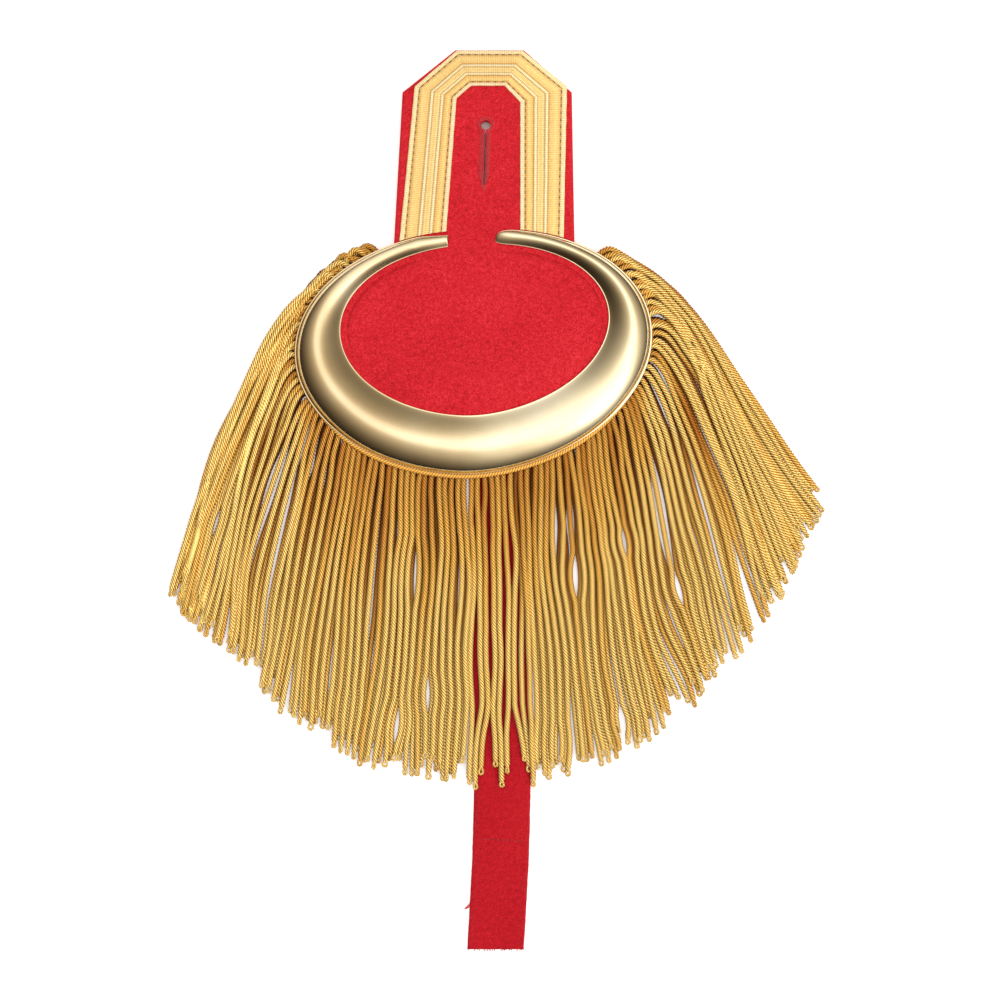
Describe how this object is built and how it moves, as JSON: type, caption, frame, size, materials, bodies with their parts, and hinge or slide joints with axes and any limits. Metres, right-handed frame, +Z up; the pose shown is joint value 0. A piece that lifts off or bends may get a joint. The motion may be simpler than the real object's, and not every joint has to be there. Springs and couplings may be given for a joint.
{
  "type": "epaulette",
  "caption": "Cloth epaulette with a lace-edged buttonhole strap, a pressed metal crescent round an oval field and a corded fringe.",
  "frame": {"origin": "under the middle of the crescent, on the flat underside of the pad", "axes": "+Y towards the strap's head with the buttonhole, +Z up out of the face, fringe and tongue towards -Y"},
  "size_m": [0.2282, 0.323, 0.0114],
  "materials": {
    "red_cloth": "felted wool cloth",
    "gold_lace": "woven metal lace",
    "red_thread": "stitched thread",
    "gilt_metal": "polished",
    "gold_cord": "twisted cord",
    "fringe_cord": "twisted gold cord",
    "tongue_cloth": "felted wool cloth"
  },
  "bodies": {
    "root": {"board": "red_cloth", "lace_border": "gold_lace", "buttonhole_stitching": "red_thread", "crescent": "gilt_metal", "edge_cord": "gold_cord", "fringe": "fringe_cord", "tongue": "tongue_cloth"}
  },
  "joints": []
}
